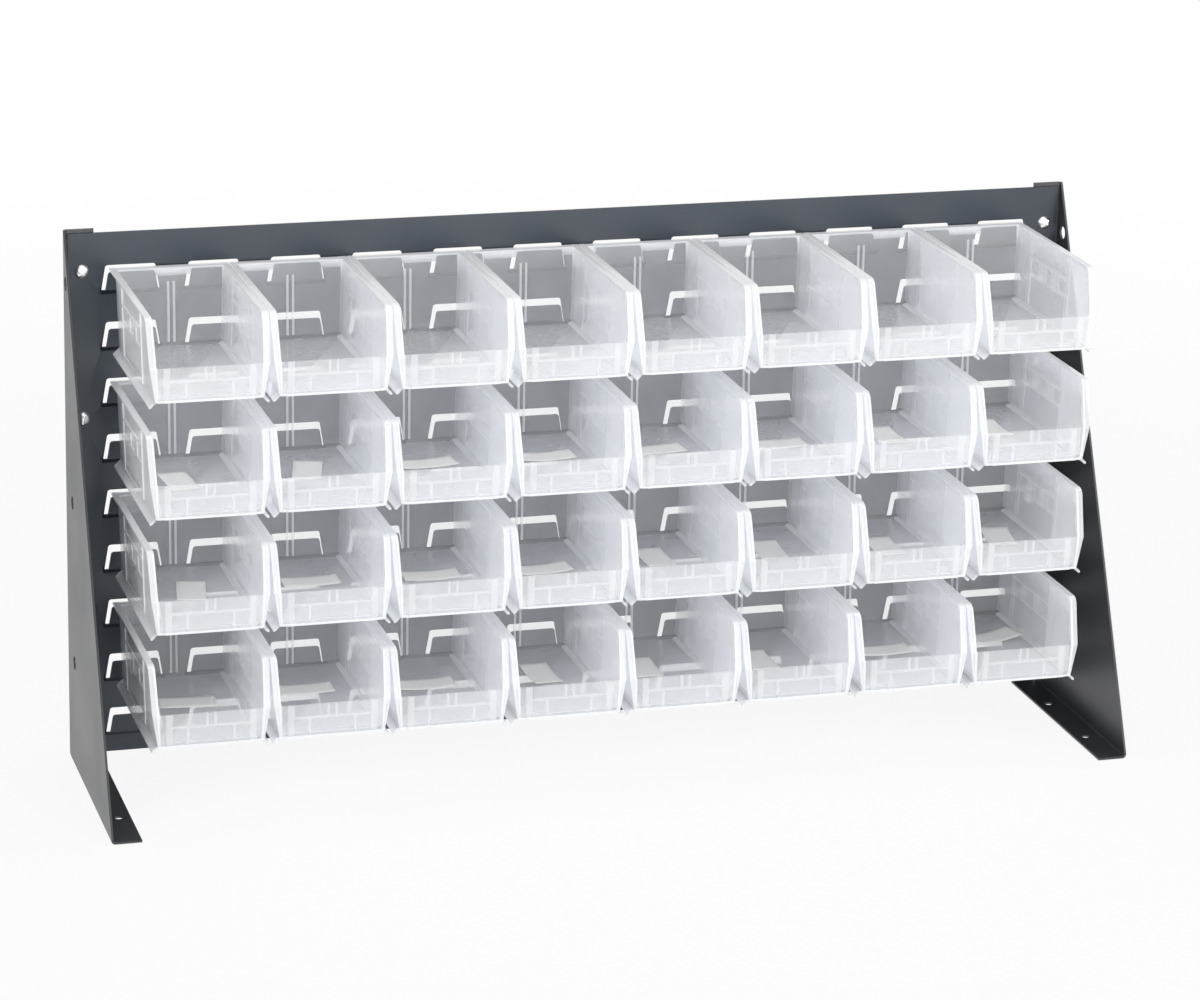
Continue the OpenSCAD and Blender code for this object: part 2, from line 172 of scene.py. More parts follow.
half = FLOOR_SIZE / 2
floor_mesh = bpy.data.meshes.new("floor")
floor_mesh.from_pydata([(-half, -half, -FLOOR_GAP), (half, -half, -FLOOR_GAP),
                        (half, half, -FLOOR_GAP), (-half, half, -FLOOR_GAP)], [], [(0, 1, 2, 3)])
floor_mesh.materials.append(sweep_white)
floor = bpy.data.objects.new("floor", floor_mesh)
scene.collection.objects.link(floor)


def softbox(name, place_at, aim_at, size, watts):
    """Area lamp of a given width and height at a point, turned so that it faces another point."""
    lamp = bpy.data.lights.new(name, "AREA")
    lamp.shape = "RECTANGLE"
    lamp.size, lamp.size_y = size
    lamp.energy = watts
    box = bpy.data.objects.new(name, lamp)
    box.location = place_at
    box.rotation_euler = (Vector(aim_at) - Vector(place_at)).to_track_quat("-Z", "Y").to_euler()
    scene.collection.objects.link(box)


softbox("left_softbox", (-2.6, -1.9, 1.5), (0, 0, 0.25), (2.2, 2.2), 42)
softbox("right_softbox", (2.6, -1.9, 1.5), (0, 0, 0.25), (2.2, 2.2), 38)
softbox("low_softbox", (0.5, -2.4, 0.2), (0, 0, 0.4), (1.8, 0.4), 13)
softbox("top_softbox", (0.0, -0.4, 2.9), (0, -0.1, 0.2), (2.0, 2.0), 19)
scene.view_settings.view_transform = "Standard"
scene.cycles.transparent_max_bounces = CLEAR_LAYERS
scene.cycles.diffuse_bounces = LIGHT_BOUNCES

# %% [markdown]
# ## Painted steel
# The panel's colour is darker than the plates': that is painted shade, for the shade that falls over the
# panel beside the plates and behind the bins.
# The panel and the end plates have a baked, semi-gloss, slate-grey paint. From close up such a
# film isn't flat: it has a fine orange-peel ripple, and its tone and gloss drift a little over a
# hand's breadth. The panel and the plates share that film, so it is one node group that each
# material feeds with its own colour. The panel's sheen is a little blue and the plates' is plain.
# Positions come from Object coordinates, so the pattern stays put on the metal when a piece moves.

# %% Paint film group
CLOUD_SCALE, PEEL_SCALE = 14.0, 620.0
PEEL_STRENGTH, PEEL_DEPTH = 0.25, 0.05 * MM
PAINT_IOR, PAINT_DRIFT, PAINT_GLOSS = 1.6, 0.18, 0.36
# The panel's slate is darker than the plates' though the paint is the same: the extra darkness is painted
# shade.
PANEL_SLATE_WITH_SHADE, PLATE_SLATE = (0.012, 0.018, 0.029), (0.030, 0.032, 0.036)
BLUE_SHEEN, PLAIN_SHEEN = (0.90, 0.96, 1.0), (1.0, 1.0, 1.0)

paint_film = bpy.data.node_groups.new("paint_film", "ShaderNodeTree")
for title, kind in (("Colour", "NodeSocketColor"), ("Drift", "NodeSocketFloat"),
                    ("Gloss", "NodeSocketFloat")):
    paint_film.interface.new_socket(title, in_out="INPUT", socket_type=kind)
for title, kind in (("Colour", "NodeSocketColor"), ("Roughness", "NodeSocketFloat"),
                    ("Height", "NodeSocketFloat")):
    paint_film.interface.new_socket(title, in_out="OUTPUT", socket_type=kind)
given = place(paint_film, "NodeGroupInput").outputs
where = place(paint_film, "ShaderNodeTexCoord").outputs["Object"]
clouds = place(paint_film, "ShaderNodeTexNoise", {"Vector": where, "Scale": CLOUD_SCALE, "Detail": 3.0})
peel = place(paint_film, "ShaderNodeTexNoise", {"Vector": where, "Scale": PEEL_SCALE, "Detail": 2.0})
drift = place(paint_film, "ShaderNodeMath", {0: clouds.outputs[0], 1: 0.5}, operation="SUBTRACT")
drift = place(paint_film, "ShaderNodeMath", {0: drift.outputs[0], 1: given["Drift"]}, operation="MULTIPLY")
tone = place(paint_film, "ShaderNodeMath", {0: drift.outputs[0], 1: 1.0}, operation="ADD")
toned = place(paint_film, "ShaderNodeVectorMath", {0: given["Colour"], "Scale": tone.outputs[0]},
              operation="SCALE")
gloss = place(paint_film, "ShaderNodeMath", {0: drift.outputs[0], 1: given["Gloss"]}, operation="ADD")
place(paint_film, "NodeGroupOutput", {"Colour": toned.outputs[0], "Roughness": gloss.outputs[0],
                                      "Height": peel.outputs[0]})


def principled(name, **plain):
    """New material with one Principled shader whose plain sockets are set; returns it and its tree."""
    material = bpy.data.materials.new(name)
    material.use_nodes = True
    made = material.node_tree
    made.nodes.clear()
    shader = place(made, "ShaderNodeBsdfPrincipled", {k.replace("_", " "): v for k, v in plain.items()})
    place(made, "ShaderNodeOutputMaterial", {"Surface": shader.outputs[0]})
    return material, made, shader


def painted_steel(name, colour, sheen):
    """Slate paint: the film's colour and gloss, the tint of its sheen, and its ripple as a shallow bump."""
    material, made, shader = principled(name, IOR=PAINT_IOR)
    shader.inputs["Specular Tint"].default_value = (*sheen, 1)
    film = place(made, "ShaderNodeGroup", node_tree=paint_film)
    film.inputs["Colour"].default_value = (*colour, 1)
    film.inputs["Drift"].default_value = PAINT_DRIFT
    film.inputs["Gloss"].default_value = PAINT_GLOSS
    ripple = place(made, "ShaderNodeBump", {"Height": film.outputs["Height"], "Strength": PEEL_STRENGTH,
                                            "Distance": PEEL_DEPTH})
    made.links.new(film.outputs["Colour"], shader.inputs["Base Color"])
    made.links.new(film.outputs["Roughness"], shader.inputs["Roughness"])
    made.links.new(ripple.outputs[0], shader.inputs["Normal"])
    return material


panel_paint = painted_steel("panel_paint", PANEL_SLATE_WITH_SHADE, BLUE_SHEEN)
plate_paint = painted_steel("plate_paint", PLATE_SLATE, PLAIN_SHEEN)
print("paints:", panel_paint.name, plate_paint.name)

# %% [markdown]
# ## Zinc fasteners
# Round-head screws hold the panel, with lock washers and nuts behind. Bright zinc is a metal with
# a slightly cloudy polish. One fixed roughness would look like chrome, so the roughness and the tint
# wander over a couple of millimetres.

# %% Zinc fasteners
ZINC_CLOUDS, ZINC_SMOOTH, ZINC_ROUGH = 450.0, 0.26, 0.36
ZINC_DULL, ZINC_BRIGHT = (0.80, 0.81, 0.82, 1), (0.93, 0.93, 0.93, 1)

zinc, tree, shader = principled("zinc", Metallic=1.0)
where = place(tree, "ShaderNodeTexCoord").outputs["Object"]
cloudy = place(tree, "ShaderNodeTexNoise", {"Vector": where, "Scale": ZINC_CLOUDS, "Detail": 2.0})
polish = place(tree, "ShaderNodeMapRange", {"Value": cloudy.outputs[0], "To Min": ZINC_SMOOTH,
                                            "To Max": ZINC_ROUGH})
tint = place(tree, "ShaderNodeMix", {"Factor": cloudy.outputs[0], "A": ZINC_DULL, "B": ZINC_BRIGHT},
             data_type="RGBA")
tree.links.new(polish.outputs[0], shader.inputs["Roughness"])
tree.links.new(tint.outputs["Result"], shader.inputs["Base Color"])
print("metal:", zinc.name)

# %% [markdown]
# ## Softened edges
# Punched and bent sheet never ends in a perfect corner: the edges are broken, and paint gathers on
# them, so each edge catches a thin line of light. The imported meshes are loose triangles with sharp
# edges. A copy of each is merged, its flat triangles are joined into whole faces, and a Bevel
# modifier rounds what still turns sharply. The copy stands for the node and rides on its body.

# %% Softened edges
MERGE = 0.001 * MM
FLAT_ANGLE, SHARP_ANGLE = math.radians(0.5), math.radians(30)
PANEL_EDGE, PLATE_EDGE, FASTENER_EDGE = 0.3 * MM, 0.4 * MM, 0.25 * MM


def softened_copy(node_name, material, edge):
    """Merged copy of a CAD node with one material and edges rounded to the given width."""
    form = bmesh.new()
    form.from_mesh(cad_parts[node_name].data)
    bmesh.ops.remove_doubles(form, verts=form.verts, dist=MERGE)
    bmesh.ops.dissolve_limit(form, angle_limit=FLAT_ANGLE, verts=form.verts, edges=form.edges)
    mesh = bpy.data.meshes.new(f"{node_name}_softened")
    form.to_mesh(mesh)
    form.free()
    mesh.shade_smooth()
    mesh.set_sharp_from_angle(angle=SHARP_ANGLE)
    mesh.materials.append(material)
    made = bpy.data.objects.new(mesh.name, mesh)
    scene.collection.objects.link(made)
    soft = made.modifiers.new("soft_edge", "BEVEL")
    soft.width = edge
    soft.segments = 2
    soft.limit_method = "ANGLE"
    soft.angle_limit = SHARP_ANGLE
    soft.harden_normals = True
    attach(made, "rack")
    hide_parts(node_name)
    print(made.name, "faces before rounding:", len(mesh.polygons))


softened_copy("louver_panel", panel_paint, PANEL_EDGE)
softened_copy("left_end_plate", plate_paint, PLATE_EDGE)
softened_copy("right_end_plate", plate_paint, PLATE_EDGE)
for name in ("panel_screws", "panel_lock_washers", "panel_nuts"):
    softened_copy(name, zinc, FASTENER_EDGE)

# %% [markdown]
# ## Surfaces from rings
# Each new piece is a stack of closed rings of points: a grid whose columns run round the piece and
# whose rows run along it. Quads join neighbouring rows, and the first and last rings are closed by
# one flat face each. numpy works out all the points and faces at once.


# %% Surfaces from rings
def solid_from_rings(rings):
    """Points and faces of a closed solid: rings is an array of rows by columns by xyz."""
    rows, columns, _ = rings.shape
    i, j = np.meshgrid(np.arange(rows - 1), np.arange(columns), indexing="ij")
    k = (j + 1) % columns
    quads = np.stack([i * columns + j, i * columns + k, (i + 1) * columns + k, (i + 1) * columns + j], -1)
    last = (rows - 1) * columns
    caps = [list(range(columns))[::-1], list(range(last, last + columns))]
    return rings.reshape(-1, 3), quads.reshape(-1, 4).tolist() + caps


def softened(outline, cut, steps=3):
    """Rounds every corner of a closed outline: a curve runs from one cut before it to one cut after it,
    as the mean of start, corner and end weighted by (1-s)(1-s), 2s(1-s) and ss."""
    corner = np.asarray(outline, float)
    back = np.roll(corner, 1, axis=0) - corner
    ahead = np.roll(corner, -1, axis=0) - corner
    start = corner + cut * back / np.linalg.norm(back, axis=1, keepdims=True)
    end = corner + cut * ahead / np.linalg.norm(ahead, axis=1, keepdims=True)
    s = np.linspace(0, 1, steps)[None, :, None]
    curve = (1 - s) ** 2 * start[:, None] + 2 * s * (1 - s) * corner[:, None] + s**2 * end[:, None]
    return curve.reshape(-1, 2)


def mesh_object(name, points, faces):
    """New mesh object at the origin, from points in millimetres."""
    mesh = bpy.data.meshes.new(name)
    mesh.from_pydata((np.asarray(points) * MM).tolist(), [], faces)
    made = bpy.data.objects.new(name, mesh)
    scene.collection.objects.link(made)
    return made


# %% [markdown]
# ## Bin: sizes
# A bin is one thin-walled moulding with draft: every wall leans out a little from floor to rim. Its
# local frame has x from the bin's middle, y from the panel's front face (negative to the front) and
# z from the skirts' feet, in millimetres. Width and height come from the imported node's own box.

# %% Bin sizes
low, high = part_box("bin_r1_c1")
BIN_W, BIN_H = (high.x - low.x) / MM, (high.z - low.z) / MM
RIB_H, LIP_BACK, BIN_L = 0.9, -1.6, 184.0
BIN_FRONT, BIN_BACK = LIP_BACK - BIN_L, -8.5
FRONT_H, FRONT_RAKE, WALL = 35.0, 12.0, 2.0
FLOOR_UNDER, FLOOR_TOP, FLOOR_CHAMFER = 5.0, 7.0, 3.0
END_DRAFT, SIDE_DRAFT = 1.6, 2.3
RIM_LEDGE, RIM_T, POST_T, LIP_H, LIP_T = 4.0, 2.5, 2.6, 9.0, 2.0
SKIRT_T, SKIRT_SETBACK, SKIRT_INSET = 1.6, 3.0, 1.3
CORNER_R = 3.0
HALF_TOP = BIN_W / 2 - RIM_LEDGE
HALF_FLOOR = HALF_TOP - SIDE_DRAFT
RIM_UNDER = BIN_H - RIM_T


def wall_half(z):
    """Half width of the side walls' outer faces at height z: a straight draft from floor to rim."""
    return HALF_FLOOR + (z - FLOOR_UNDER) * SIDE_DRAFT / (BIN_H - FLOOR_UNDER)


def back_at(z):
    """Depth of the back wall's outer face at height z."""
    return BIN_BACK - (BIN_H - z) * END_DRAFT / (BIN_H - FLOOR_UNDER)


def front_at(z):
    """Depth of the front edge at height z: the drafted front wall, then the raked edge up to the rim."""
    drafted = BIN_FRONT + (FRONT_H - z) * END_DRAFT / (FRONT_H - FLOOR_UNDER)
    raked = BIN_FRONT + (z - FRONT_H) * FRONT_RAKE / (BIN_H - FRONT_H)
    return np.where(np.asarray(z) < FRONT_H, drafted, raked)


print("bin in mm:", round(BIN_W, 1), "x", BIN_L, "x", round(BIN_H, 1))

# %% [markdown]
# ## Bin: the tub
# The tub with its moulded ribs could be a box with booleans, but thin ribs and drafted walls make
# those fragile. Here it is one grid. Columns run round the walls and stand at every rib's edges.
# Rows run up the outside, over the top edge and down the inside, and lie at every rail's edges.
# The low front wall comes from blending two lists of heights, one for the sides and one for the
# front. Ribs are the same grid pushed out where a mask is true.

# %% Bin tub
EDGE_SLOPE = 0.25
REAR_RIB_INSET, FRONT_RIB_INSET = 33.0, 57.0
REAR_RIB, FRONT_RIB = BIN_BACK - REAR_RIB_INSET, BIN_FRONT + FRONT_RIB_INSET
RIB_RUN = REAR_RIB - FRONT_RIB
SIDE_RIBS = np.array([FRONT_RIB, FRONT_RIB + RIB_RUN / 3, FRONT_RIB + 2 * RIB_RUN / 3, REAR_RIB])
HALF_RIB, HALF_BLOCK = 1.0, 7.0
HALF_RAIL, LOWER_RAIL_RISE, UPPER_RAIL_DROP, FRONT_RAIL_DROP = 1.0, 3.0, 23.0, 12.0
LOWER_RAIL, UPPER_RAIL = FRONT_H + LOWER_RAIL_RISE, BIN_H - UPPER_RAIL_DROP
FLOOR_RAIL, FRONT_RAIL = FLOOR_TOP, FRONT_H - FRONT_RAIL_DROP
BAND_INNER, BAND_OUTER = 12.5, 7.0
BAND_IN, BAND_OUT = HALF_FLOOR - BAND_INNER, HALF_FLOOR - BAND_OUTER
CELL, FRONT_GUIDE, BACK_GUIDE, RIB_W = 19.0, 2.5, 1.5, 2.0
GUIDE_H, GUIDE_DROP = 1.4, 12.0
GUIDE_TOP = BIN_H - GUIDE_DROP
POST_RECESS, TOP_GAP, EDGE_ROUND, LEAST_BEND = 0.3, 0.3, 0.4, 0.3
CORNER_POINTS = 5
# Columns that follow no rib: beside the raked edge's top, on the back wall and near the back corners.
RAKE_LINES, BACK_LINE, REAR_LINE = (-6.0, -2.0, 6.8, 14.0), 30.0, 12.0
# Heights on the low front of rows that follow no rib there: they only have to rise or fall in step.
FOOT_ROWS = (5.1, 5.2, FLOOR_TOP, FLOOR_TOP + EDGE_SLOPE)
OUTER_ROWS = (27.0, 29.0, 31.0, 32.5, 33.7)
INNER_ROWS = (33.6, 33.4, 32.0, 30.0, 29.0, 28.5, 27.0, 26.0)


def rib_edges(low_edge, high_edge):
    """The four grid lines of a rib: foot, crest, crest and foot."""
    return [low_edge - EDGE_SLOPE, low_edge, high_edge, high_edge + EDGE_SLOPE]


def tub_columns():
    """Columns round the tub, counter-clockwise from the front's left: for each its free x or y, which
    wall it belongs to in x and y (-1, 0 or 1), and its outward direction."""
    front_half = sum((rib_edges(a, b) for a, b in
                      ((FRONT_GUIDE, FRONT_GUIDE + RIB_W), (CELL, CELL + RIB_W), (BAND_IN, BAND_OUT))), [])
    front_x = np.array([-x for x in front_half[::-1]] + [0.0] + front_half)
    back_half = rib_edges(BACK_GUIDE, BACK_GUIDE + RIB_W)
    back_x = np.array([BACK_LINE] + back_half[::-1] + [-x for x in back_half] + [-BACK_LINE])
    ribs = sum((rib_edges(y - half, y + half) for y, half in
                zip(SIDE_RIBS, (HALF_RIB, HALF_BLOCK, HALF_BLOCK, HALF_RIB))), [])
    rake = BIN_FRONT + FRONT_RAKE
    side_y = np.array([rake + line for line in RAKE_LINES] + ribs + [BIN_BACK - REAR_LINE])
    turn = np.radians(np.linspace(0, 90, CORNER_POINTS))

    def straight(x, y, wall_x, wall_y):
        n = max(np.size(x), np.size(y))
        return np.stack([np.broadcast_to(v, n) for v in (x, y, wall_x, wall_y, wall_x, wall_y)])

    def corner(wall_x, wall_y, angle):
        n = len(turn)
        around = angle + turn
        return np.stack([np.zeros(n), np.zeros(n), np.full(n, wall_x), np.full(n, wall_y),
                         np.cos(around), np.sin(around)])

    right_angle = math.pi / 2
    return np.concatenate([
        straight(front_x, 0.0, 0.0, -1.0), corner(1.0, -1.0, -right_angle),
        straight(0.0, side_y, 1.0, 0.0), corner(1.0, 1.0, 0.0),
        straight(back_x, 0.0, 0.0, 1.0), corner(-1.0, 1.0, right_angle),
        straight(0.0, side_y[::-1], -1.0, 0.0), corner(-1.0, -1.0, 2 * right_angle)], axis=1)


def tub_rings():
    """Every point of the tub. Height blends the front's rows into the side's rows along the raked edge.
    A point is its wall's place at that height, moved in by its row's inset, with the corner's arc."""
    top, brow = BIN_H - TOP_GAP, RIM_UNDER - TOP_GAP
    chamfer = FLOOR_TOP + FLOOR_CHAMFER
    foot, lower, upper, front_rows = (rib_edges(rail - HALF_RAIL, rail + HALF_RAIL) for rail in
                                      (FLOOR_RAIL, LOWER_RAIL, UPPER_RAIL, FRONT_RAIL))
    edge = (top - EDGE_ROUND, FRONT_H - EDGE_ROUND)
    outside = [(FLOOR_UNDER, FLOOR_UNDER), *zip(foot, FOOT_ROWS), *zip(lower, front_rows),
               *zip(upper + [RIM_UNDER], OUTER_ROWS), edge]
    sides_in = [brow, brow - EDGE_SLOPE, GUIDE_TOP + EDGE_SLOPE, GUIDE_TOP] + upper[::-1]
    inside = [edge, *zip(sides_in, INNER_ROWS), *zip(lower[::-1], front_rows[::-1]),
              *((level, level) for level in (chamfer + EDGE_SLOPE, chamfer, FLOOR_TOP, FLOOR_TOP))]
    heights = np.array(outside + [(top, FRONT_H)] * 2 + inside)
    floor_edge = WALL + FLOOR_CHAMFER
    inset = np.array([0.0] * len(outside) + [EDGE_ROUND, WALL - EDGE_ROUND]
                     + [WALL] * (len(inside) - 2) + [floor_edge, floor_edge + EDGE_SLOPE])[:, None]
    is_outside = (np.arange(len(heights)) < len(outside))[:, None]
    free_x, free_y, wall_x, wall_y, out_x, out_y = tub_columns()
    edge_y = np.where(wall_x != 0, np.where(wall_y < 0, BIN_FRONT + CORNER_R * (1 + out_y), free_y), 0.0)
    edge_y = np.where(wall_y > 0, 0.0, np.where(wall_x == 0, BIN_FRONT, edge_y))
    raked = np.clip((edge_y - BIN_FRONT - POST_RECESS) / FRONT_RAKE, 0, 1)
    z = heights[:, 1:] + raked * (heights[:, :1] - heights[:, 1:])
    bend = np.maximum(CORNER_R - inset, LEAST_BEND)
    half = wall_half(z) - inset - bend
    front = BIN_FRONT + np.maximum(FRONT_H - z, 0) * END_DRAFT / (FRONT_H - FLOOR_UNDER) + inset + bend
    back = back_at(z) - inset - bend
    x = free_x + wall_x * half + np.where(wall_x != 0, out_x, 0) * bend
    y = free_y + np.where(wall_y < 0, front, 0) + np.where(wall_y > 0, back, 0)
    y = y + np.where(wall_y != 0, out_y, 0) * bend

    near = 0.01
    on_side = (wall_x != 0) & (wall_y == 0)
    on_front = (wall_y < 0) & (wall_x == 0)
    on_back = (wall_y > 0) & (wall_x == 0)
    across = np.abs(free_x)
    rib_gap = np.abs(free_y[:, None] - SIDE_RIBS)
    on_end_rib = (rib_gap[:, [0, 3]] <= HALF_RIB + near).any(1)
    on_mid_rib = (rib_gap[:, [1, 2]] <= HALF_BLOCK + near).any(1)
    between = (free_y >= FRONT_RIB) & (free_y <= REAR_RIB)
    on_rail = np.any([np.abs(z - rail) <= HALF_RAIL + near
                      for rail in (FLOOR_RAIL, LOWER_RAIL, UPPER_RAIL)], axis=0)
    cells = (z >= LOWER_RAIL) & (z <= UPPER_RAIL)
    side_rib = on_side & (z < RIM_UNDER + near) & (on_end_rib | (between & on_rail) | (on_mid_rib & cells))
    in_band = (across >= BAND_IN - near) & (across <= BAND_OUT + near)
    front_rail = (np.abs(z - FRONT_RAIL) <= HALF_RAIL + near) | (z <= FLOOR_TOP + near)
    in_cell = (across >= CELL - near) & (across <= CELL + RIB_W + near)
    in_guide = (across >= FRONT_GUIDE - near) & (across <= FRONT_GUIDE + RIB_W + near)
    in_back_guide = (across >= BACK_GUIDE - near) & (across <= BACK_GUIDE + RIB_W + near)
    front_rib = on_front & (in_band | (front_rail & (across <= BAND_OUT)) | (in_cell & (z <= FRONT_RAIL))
                            | (in_guide & (z >= FRONT_RAIL)))
    out = RIB_H * (is_outside & (side_rib | front_rib))
    guides = on_back & in_back_guide & ~is_outside & (z <= GUIDE_TOP + near) & (z > FLOOR_TOP + near)
    guides = guides & (np.arange(len(heights)) > len(outside) + 1)[:, None]
    push = out - GUIDE_H * guides
    x = x + np.where(wall_y == 0, out_x, 0) * push
    y = y + np.where(wall_x == 0, out_y, 0) * push
    return np.stack([x, y, z], axis=-1)


tub = solid_from_rings(tub_rings())
print("tub points:", len(tub[0]), "faces:", len(tub[1]))

# %% [markdown]
# ## Bin: rim, posts, lip and skirts
# A flat ledge runs along each side of the rim and turns down the raked front edge as a post, to
# stiffen the opening. It is one bar: a softened square carried along the path of that edge. The
# bridge and lip that hook over a louver, and the stacking skirts under the floor, are straight bars.
# A bar stops a hair short of a face that it would share with another piece.

# %% Bin bars
POST_LIFT = 0.3
POST_FOOT = FLOOR_UNDER + POST_LIFT
RIM_TURN, INNER_TURN, LOW_TURN, TURN_POINTS = 6.8, 4.9, 3.0, 7
SECTION_SOFT, BAR_SOFT, SKIRT_SOFT = 0.16, 0.5, 0.25
BRIGHT_FROM, BRIGHT_TO = 0.28, 0.34
HAIR, LIP_SINK, BRIDGE_INSET = 0.05, 1.0, 0.6
SKIRT_ROOT, SKIRT_TOP, SKIRT_BITE, SKIRT_SKIN = 5.6, 6.6, 0.5, 0.2


def softened_path(points, cuts, steps):
    """Open path in depth and height whose inner corners are rounded, each by its own cut."""
    points = np.asarray(points, float)
    pieces = [points[:1]]
    for a, b, c, cut in zip(points, points[1:], points[2:], cuts):
        start = b + cut * (a - b) / np.linalg.norm(a - b)
        end = b + cut * (c - b) / np.linalg.norm(c - b)
        s = np.linspace(0, 1, steps)[:, None]
        pieces.append((1 - s) ** 2 * start + 2 * s * (1 - s) * b + s**2 * end)
    return np.concatenate(pieces + [points[-1:]])


def ledge_at(z):
    """Half width of the ledge at height z: it runs out from the foot to the low front, then to the rim."""
    return np.interp(z, [POST_FOOT, FRONT_H, BIN_H],
                     [HALF_FLOOR, wall_half(FRONT_H) + RIM_LEDGE, BIN_W / 2])


def rim_and_post(side):
    """Bar along one side's rim and down its front edge. At each station its section is a softened
    square between the wall's inner face and the ledge's edge, and between the path and its inner copy."""
    rake_top = BIN_FRONT + FRONT_RAKE
    foot_y, brow_y = float(front_at(POST_FOOT)), float(front_at(RIM_UNDER))
    edge = softened_path([(LIP_BACK, BIN_H), (rake_top, BIN_H), (BIN_FRONT, FRONT_H), (foot_y, POST_FOOT)],
                         (RIM_TURN, LOW_TURN), TURN_POINTS)
    inner = softened_path([(LIP_BACK, RIM_UNDER), (brow_y + POST_T, RIM_UNDER),
                           (BIN_FRONT + POST_T, FRONT_H), (foot_y + POST_T, POST_FOOT)],
                          (INNER_TURN, LOW_TURN), TURN_POINTS)
    z = edge[:, 1]
    wall_in = wall_half(z) - WALL + HAIR
    ledge = ledge_at(z)
    section = softened([(0, 0), (1, 0), (1, 1), (0, 1)], SECTION_SOFT)
    after_first, after_third = len(section) // 4, 3 * len(section) // 4
    section = np.insert(section, [after_first, after_first, after_third, after_third],
                        [(BRIGHT_FROM, 0), (BRIGHT_TO, 0), (BRIGHT_TO, 1), (BRIGHT_FROM, 1)], axis=0)
    a, d = section[:, 0], section[:, 1]
    x = side * (wall_in[:, None] + a * (ledge - wall_in)[:, None])
    depth_height = edge[:, None] + d[None, :, None] * (inner - edge)[:, None]
    return solid_from_rings(np.concatenate([x[..., None], depth_height], axis=-1))


def straight_bar(profile, ends, axis):
    """Profile in the other two axes, carried straight between two ends along x or y."""
    ring = np.asarray(profile, float)
    rings = np.empty((2, len(ring), 3))
    rings[:, :, axis] = np.asarray(ends, float)[:, None]
    rings[:, :, 1 - axis] = ring[:, 0]
    rings[:, :, 2] = ring[:, 1]
    return solid_from_rings(rings)


def bin_bars():
    """The bars of a bin: two rims with posts, the bridge and the lip behind it, and two skirts."""
    under = RIM_UNDER
    over = BIN_H - HAIR
    rear = BIN_BACK - WALL
    bridge = softened([(LIP_BACK, under), (LIP_BACK, over), (rear, over), (rear, under)], BAR_SOFT)
    lip_in, lip_out = LIP_BACK - LIP_T, LIP_BACK - HAIR
    lip_low, lip_high = BIN_H - LIP_H, BIN_H - LIP_SINK
    lip = softened([(lip_in, lip_low), (lip_out, lip_low), (lip_out, lip_high), (lip_in, lip_high)], BAR_SOFT)
    tip = BIN_W / 2 - SKIRT_INSET
    root = HALF_FLOOR - SKIRT_T
    skirt = np.array([(root - SKIRT_BITE, SKIRT_ROOT), (root, SKIRT_TOP),
                      (wall_half(SKIRT_TOP) - SKIRT_SKIN, SKIRT_TOP),
                      (tip, SKIRT_T), (tip, 0), (tip - SKIRT_T, 0)])
    skirt_ends = (BIN_FRONT + END_DRAFT + SKIRT_SETBACK, float(back_at(FLOOR_UNDER)))
    reach = BIN_W / 2 - BRIDGE_INSET
    bars = [rim_and_post(1), rim_and_post(-1), straight_bar(bridge, (-reach, reach), 0),
            straight_bar(lip, (-HALF_TOP, HALF_TOP), 0)]
    for side in (1, -1):
        bars.append(straight_bar(softened(skirt * (side, 1), SKIRT_SOFT), skirt_ends, 1))
    return bars


bars = bin_bars()
print("bars:", len(bars), "with", sum(len(p) for p, _ in bars), "points")

# %% [markdown]
# ## Bin: one moulding
# The tub and its bars overlap a little where they join. In clear plastic the buried faces would show,
# so a boolean union with the Manifold solver makes them one closed surface, as the real moulding is.
# It is made once, and every bin is a copy.


# %% Bin union
def facing_out(piece):
    """Turns a closed mesh so that its faces point outwards: its signed volume has to be positive."""
    mesh = piece.data
    mesh.calc_loop_triangles()
    corners = np.empty(len(mesh.loop_triangles) * 3, np.int32)
    mesh.loop_triangles.foreach_get("vertices", corners)
    points = np.empty(len(mesh.vertices) * 3)
    mesh.vertices.foreach_get("co", points)
    a, b, c = points.reshape(-1, 3)[corners.reshape(-1, 3)].transpose(1, 0, 2)
    if np.einsum("ij,ij->i", a, np.cross(b, c)).sum() < 0:
        mesh.flip_normals()


def union_of(name, solids):
    """One mesh from overlapping closed solids."""
    pieces = [mesh_object(f"{name}_{i}", *solid) for i, solid in enumerate(solids)]
    for piece in pieces:
        facing_out(piece)
    operands = bpy.data.collections.new(name)
    for piece in pieces[1:]:
        operands.objects.link(piece)
    join = pieces[0].modifiers.new("join", "BOOLEAN")
    join.operation = "UNION"
    join.solver = "MANIFOLD"
    join.operand_type = "COLLECTION"
    join.collection = operands
    evaluated = pieces[0].evaluated_get(bpy.context.evaluated_depsgraph_get())
    mesh = bpy.data.meshes.new_from_object(evaluated)
    for piece in pieces:
        bpy.data.objects.remove(piece)
    bpy.data.collections.remove(operands)
    return mesh


moulding = union_of("moulding", [tub] + bars)
print("one bin:", len(moulding.vertices), "points", len(moulding.polygons), "faces")
